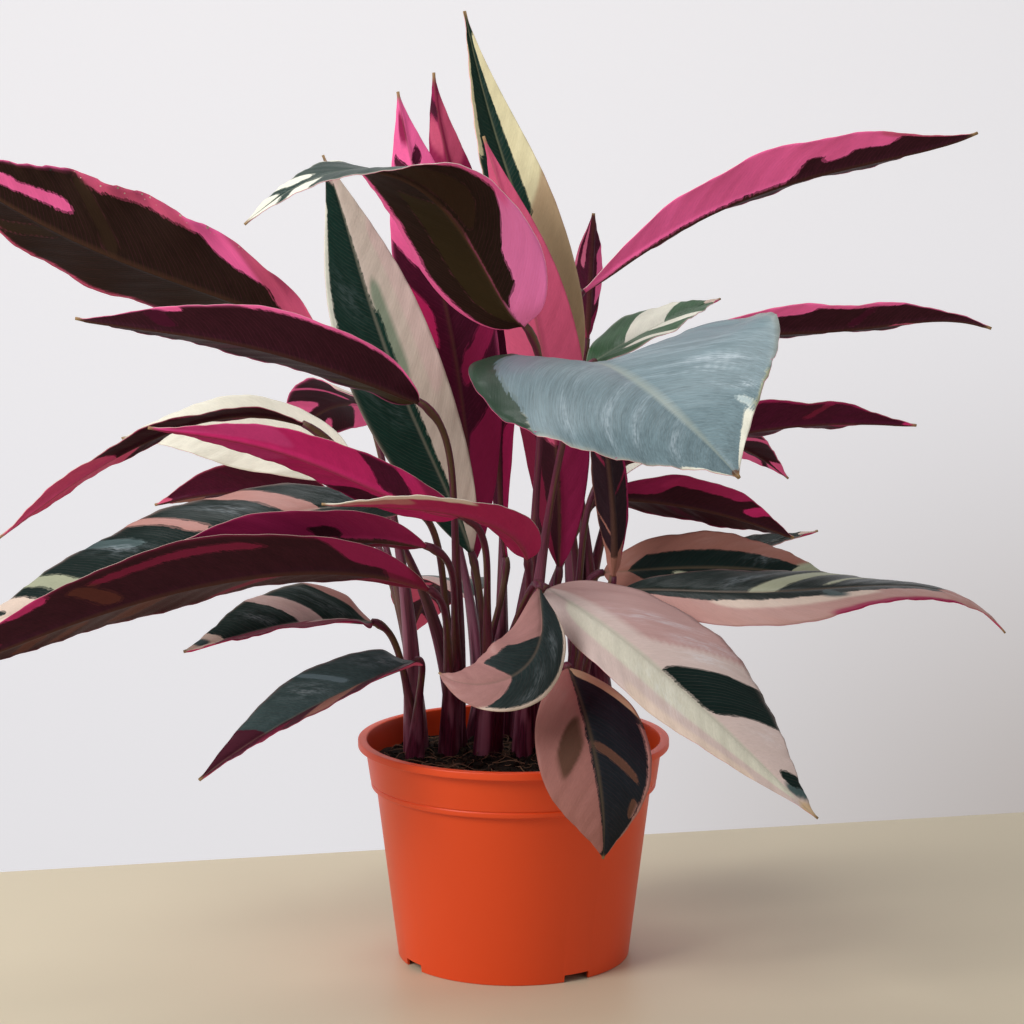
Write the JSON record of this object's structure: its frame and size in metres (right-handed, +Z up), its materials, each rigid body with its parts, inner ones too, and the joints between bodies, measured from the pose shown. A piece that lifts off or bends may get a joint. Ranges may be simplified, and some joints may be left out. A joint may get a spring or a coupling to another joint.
{
  "type": "potted stromanthe",
  "caption": "Potted stromanthe: arching green, cream and pink variegated blades with maroon undersides on sheathed stalks, in a round plastic nursery pot.",
  "frame": {"origin": "middle of the pot's flat base, on the surface that it stands on", "axes": "+Z up, -Y toward the viewer, +X to the viewer's right, along the plant's widest spread"},
  "size_m": [0.6454, 0.4968, 0.5745],
  "materials": {
    "pot_plastic": "smooth moulded orange plastic with a light satin sheen",
    "soil": "dark crumbly potting soil with fine roots",
    "stalk": "smooth maroon and olive leaf stalk",
    "leaf": "leathery leaf, dark green and cream above, maroon and pink below"
  },
  "bodies": {
    "root": {"pot": "pot_plastic", "soil": "soil", "shoot_left": "stalk", "shoot_left_inner": "stalk", "shoot_middle": "stalk", "shoot_middle_back": "stalk", "shoot_right_inner": "stalk", "shoot_right": "stalk", "shoot_right_back": "stalk", "blade_spire": "leaf", "blade_rosy_spire": "leaf", "blade_arch": "leaf", "blade_flag_left": "leaf", "blade_flag_right": "leaf", "blade_green_flag": "leaf", "blade_upper_left": "leaf", "blade_second_left": "leaf", "blade_ribbon": "leaf", "blade_magenta_left": "leaf", "blade_cream_back": "leaf", "blade_maroon_back": "leaf", "blade_dark_left": "leaf", "blade_crimson_left": "leaf", "blade_lower_left": "leaf", "blade_small_left": "leaf", "blade_trailing_left": "leaf", "blade_curled": "leaf", "blade_pale_right": "leaf", "blade_hanging": "leaf", "blade_striped_right": "leaf", "blade_dark_right": "leaf", "blade_maroon_right": "leaf", "blade_slip_right": "leaf", "blade_silver": "leaf", "blade_green_back": "leaf", "blade_top_right": "leaf", "blade_long_right": "leaf", "blade_mid_right": "leaf", "blade_bud": "leaf", "blade_sliver": "leaf", "blade_rolled": "leaf", "blade_rear_left": "leaf", "blade_rear_middle": "leaf", "blade_rear_right": "leaf", "blade_rear_low": "leaf"}
  },
  "joints": []
}
